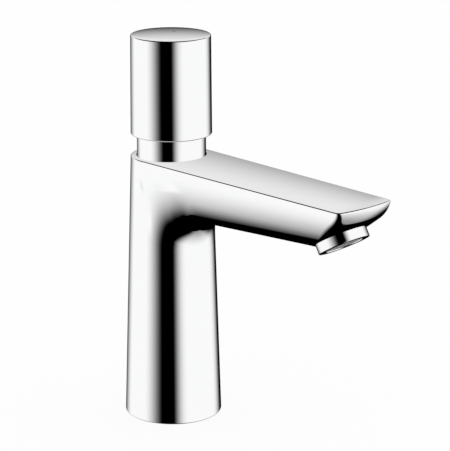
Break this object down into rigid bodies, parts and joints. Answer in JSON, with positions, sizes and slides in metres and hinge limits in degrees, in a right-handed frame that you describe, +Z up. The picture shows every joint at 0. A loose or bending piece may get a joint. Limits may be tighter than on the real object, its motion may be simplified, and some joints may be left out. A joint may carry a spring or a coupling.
{
  "type": "push timed tap",
  "caption": "Single-hole basin tap with a round knob that is pushed to run the water, closes by itself and turns to set the temperature.",
  "frame": {"origin": "centre of the round base, on the surface of the basin", "axes": "+Z up along the column, +X along the spout, +Y to the left of someone who looks along the spout from behind"},
  "size_m": [0.1554, 0.048, 0.1902],
  "materials": {
    "chrome": "mirror-polished chrome plating on brass",
    "knob_chrome": "mirror-polished chrome plating",
    "mark": "dark grey inlay, level with the knob's top",
    "grille": "moulded grey plastic",
    "grey_plastic": "moulded grey plastic",
    "white_plastic": "moulded off-white plastic",
    "black_plastic": "moulded black plastic",
    "red_plastic": "moulded red plastic",
    "plug": "smooth light grey plastic",
    "hose": "smooth pale hose",
    "rubber": "black rubber",
    "brass": "machined brass",
    "steel": "stainless steel",
    "ceramic": "ground white ceramic"
  },
  "bodies": {
    "body": {"body_shell": "chrome", "neck_sleeve": "chrome", "function_block": "brass", "block_screws": "steel", "base_ring": "black_plastic", "base_seal": "rubber", "inlet_filters": "steel", "check_valves": "white_plastic", "cartridge_seals": "rubber", "cartridge_housing": "grey_plastic", "housing_o_rings": "rubber", "fixed_disc": "ceramic", "cartridge_nut": "brass", "neck_o_ring": "rubber", "limit_ring": "red_plastic", "hose_nozzle": "brass", "nozzle_o_ring": "rubber", "spout_hose": "hose", "outlet_elbow": "grey_plastic", "elbow_o_ring": "rubber", "aerator_ring": "chrome", "aerator_washer": "rubber", "aerator_grille": "grille", "aerator_core": "grey_plastic", "flow_regulator": "white_plastic"},
    "rotor": {"turning_disc": "ceramic", "turning_sleeve": "white_plastic", "sleeve_o_rings": "rubber", "valve_seat": "brass", "timing_cup": "grey_plastic", "metering_screw": "brass", "return_spring": "steel", "rod_gland": "white_plastic", "rod_seal": "rubber", "spindle": "brass", "stop_finger": "black_plastic"},
    "knob": {"knob_cap": "knob_chrome", "index_mark": "mark", "knob_core": "black_plastic", "glide_ring": "white_plastic", "grub_screw": "steel", "screw_plug": "plug", "push_rod": "steel", "valve_washer": "rubber", "timing_piston": "white_plastic", "lip_seal": "rubber"}
  },
  "joints": [
    {"name": "temperature_turn", "type": "hinge", "parent": "body", "child": "rotor", "pos_m": [0, 0, 0.12], "axis": [0, 0, 1], "range_deg": [-60, 60]},
    {"name": "knob_push", "type": "slide", "parent": "rotor", "child": "knob", "axis": [0, 0, -1], "range_m": [0, 0.005], "stiffness_N_per_m": 600, "springref_m": -0.012, "deforming": ["return_spring"]}
  ]
}
